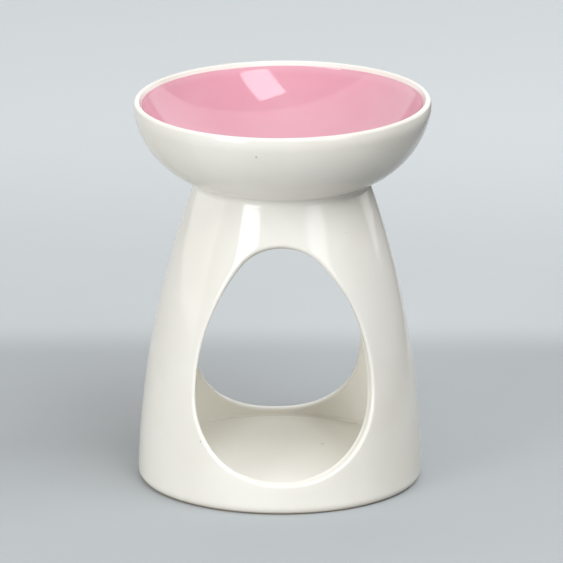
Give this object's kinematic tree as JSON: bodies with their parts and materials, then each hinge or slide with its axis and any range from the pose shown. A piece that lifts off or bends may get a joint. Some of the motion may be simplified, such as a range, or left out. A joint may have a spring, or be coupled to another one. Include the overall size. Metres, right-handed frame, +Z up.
{
  "type": "essential oil burner",
  "caption": "Round glazed ceramic oil burner: tapered stand with an egg-shaped window front and back for a tea light, and a shallow rounded dish with a pink glaze lining.",
  "frame": {"origin": "on the table, on the axis of the burner", "axes": "+Z up along the axis of the burner; the windows open along -Y (front) and +Y (back)"},
  "size_m": [0.0917, 0.0916, 0.1207],
  "materials": {
    "cream_glaze": "gloss cream glaze over earthenware, bare on the foot ring",
    "pink_glaze": "gloss pink glaze, pooled on the bottom of the dish"
  },
  "bodies": {
    "root": {"stand": "cream_glaze", "floor_plate": "cream_glaze", "floor_seam": "cream_glaze", "dish": "cream_glaze", "neck_seam": "cream_glaze", "dish_lining": "pink_glaze"}
  },
  "joints": []
}
